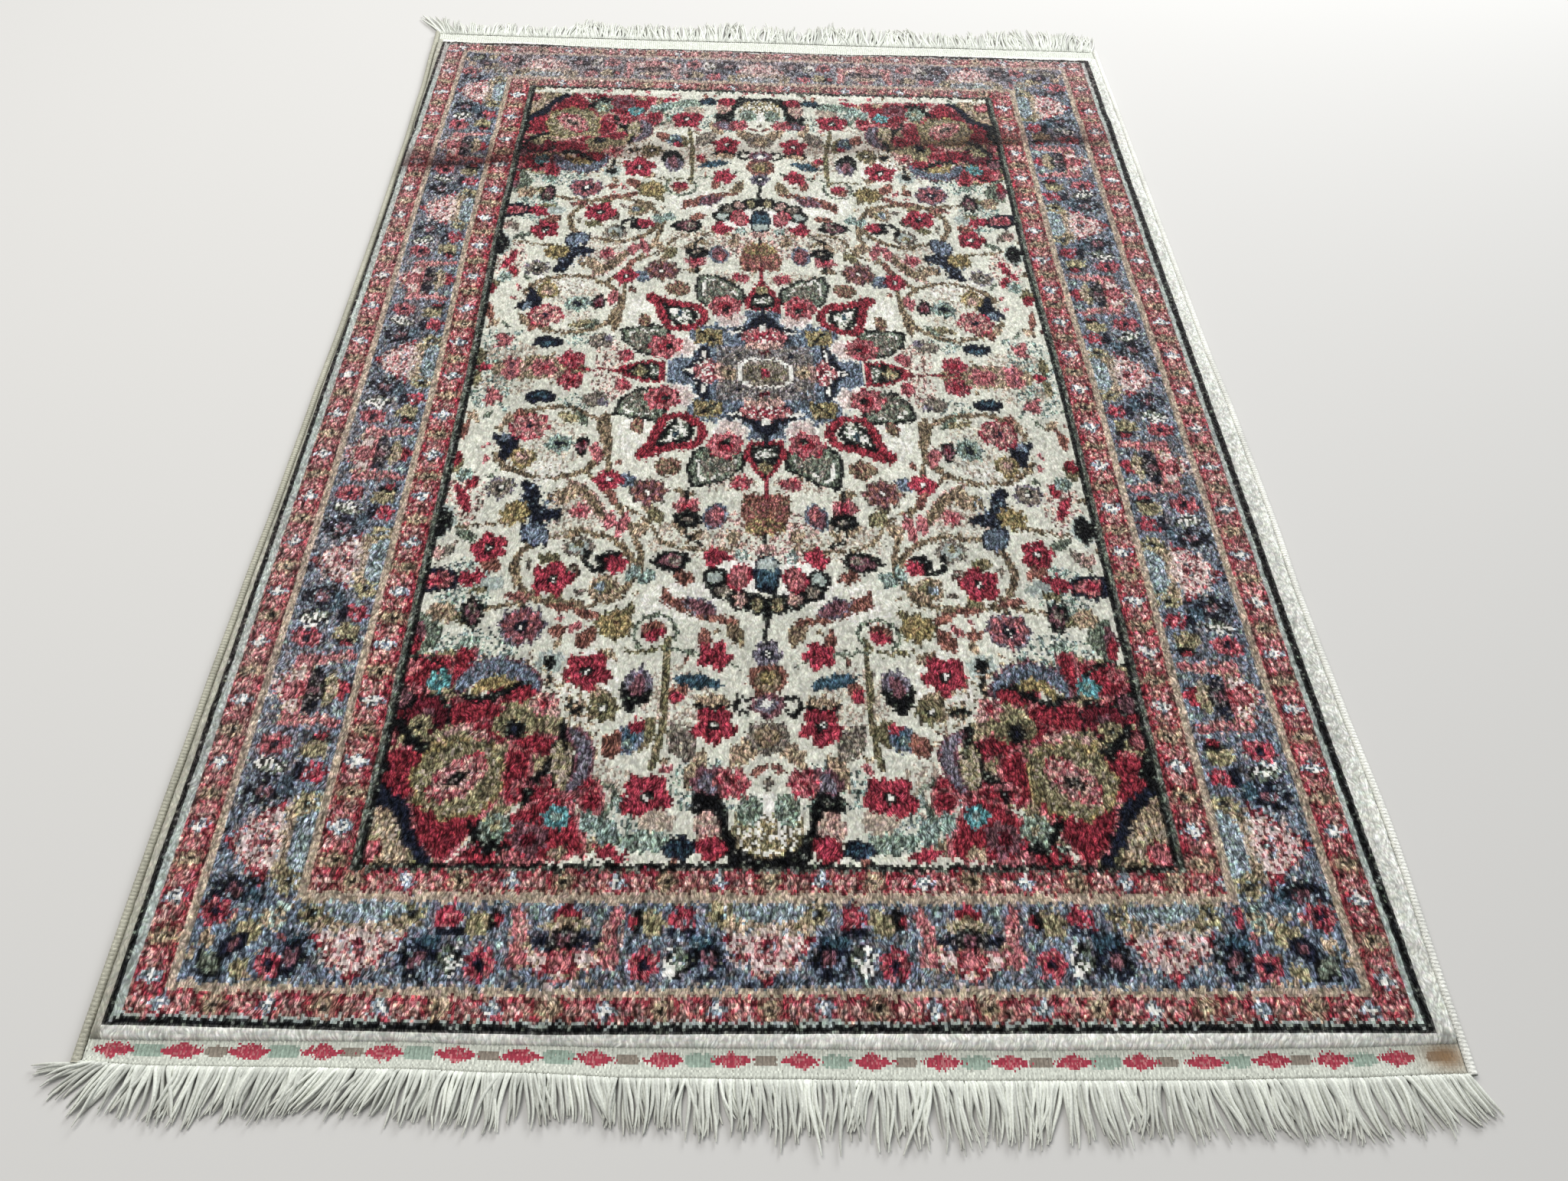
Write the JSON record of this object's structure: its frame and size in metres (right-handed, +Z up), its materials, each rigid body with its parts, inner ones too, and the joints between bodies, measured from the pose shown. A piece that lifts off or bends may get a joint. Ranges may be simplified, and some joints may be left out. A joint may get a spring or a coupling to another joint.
{
  "type": "pakistani rug",
  "caption": "Small rectangular rug of knotted wool pile with a medallion design, short flatwoven ends, bound sides and cotton fringes, lying flat.",
  "frame": {"origin": "on the floor, under the middle of the whole rug, fringes included", "axes": "+X across the rug, +Y along it from the near fringe to the far one, +Z up through the pile"},
  "size_m": [0.795, 1.253, 0.01],
  "materials": {
    "wool_pile": "silky cut wool pile in ivory, crimson, slate blue, navy, sage and tan",
    "cotton_binding": "matt off-white cotton, wound over the side warps",
    "cotton_warp": "matt grey-white cotton yarn, a little soiled"
  },
  "bodies": {
    "root": {"knotted_cloth": "wool_pile", "selvedge_left": "cotton_binding", "selvedge_right": "cotton_binding", "fringe_near": "cotton_warp", "fringe_far": "cotton_warp"}
  },
  "joints": []
}
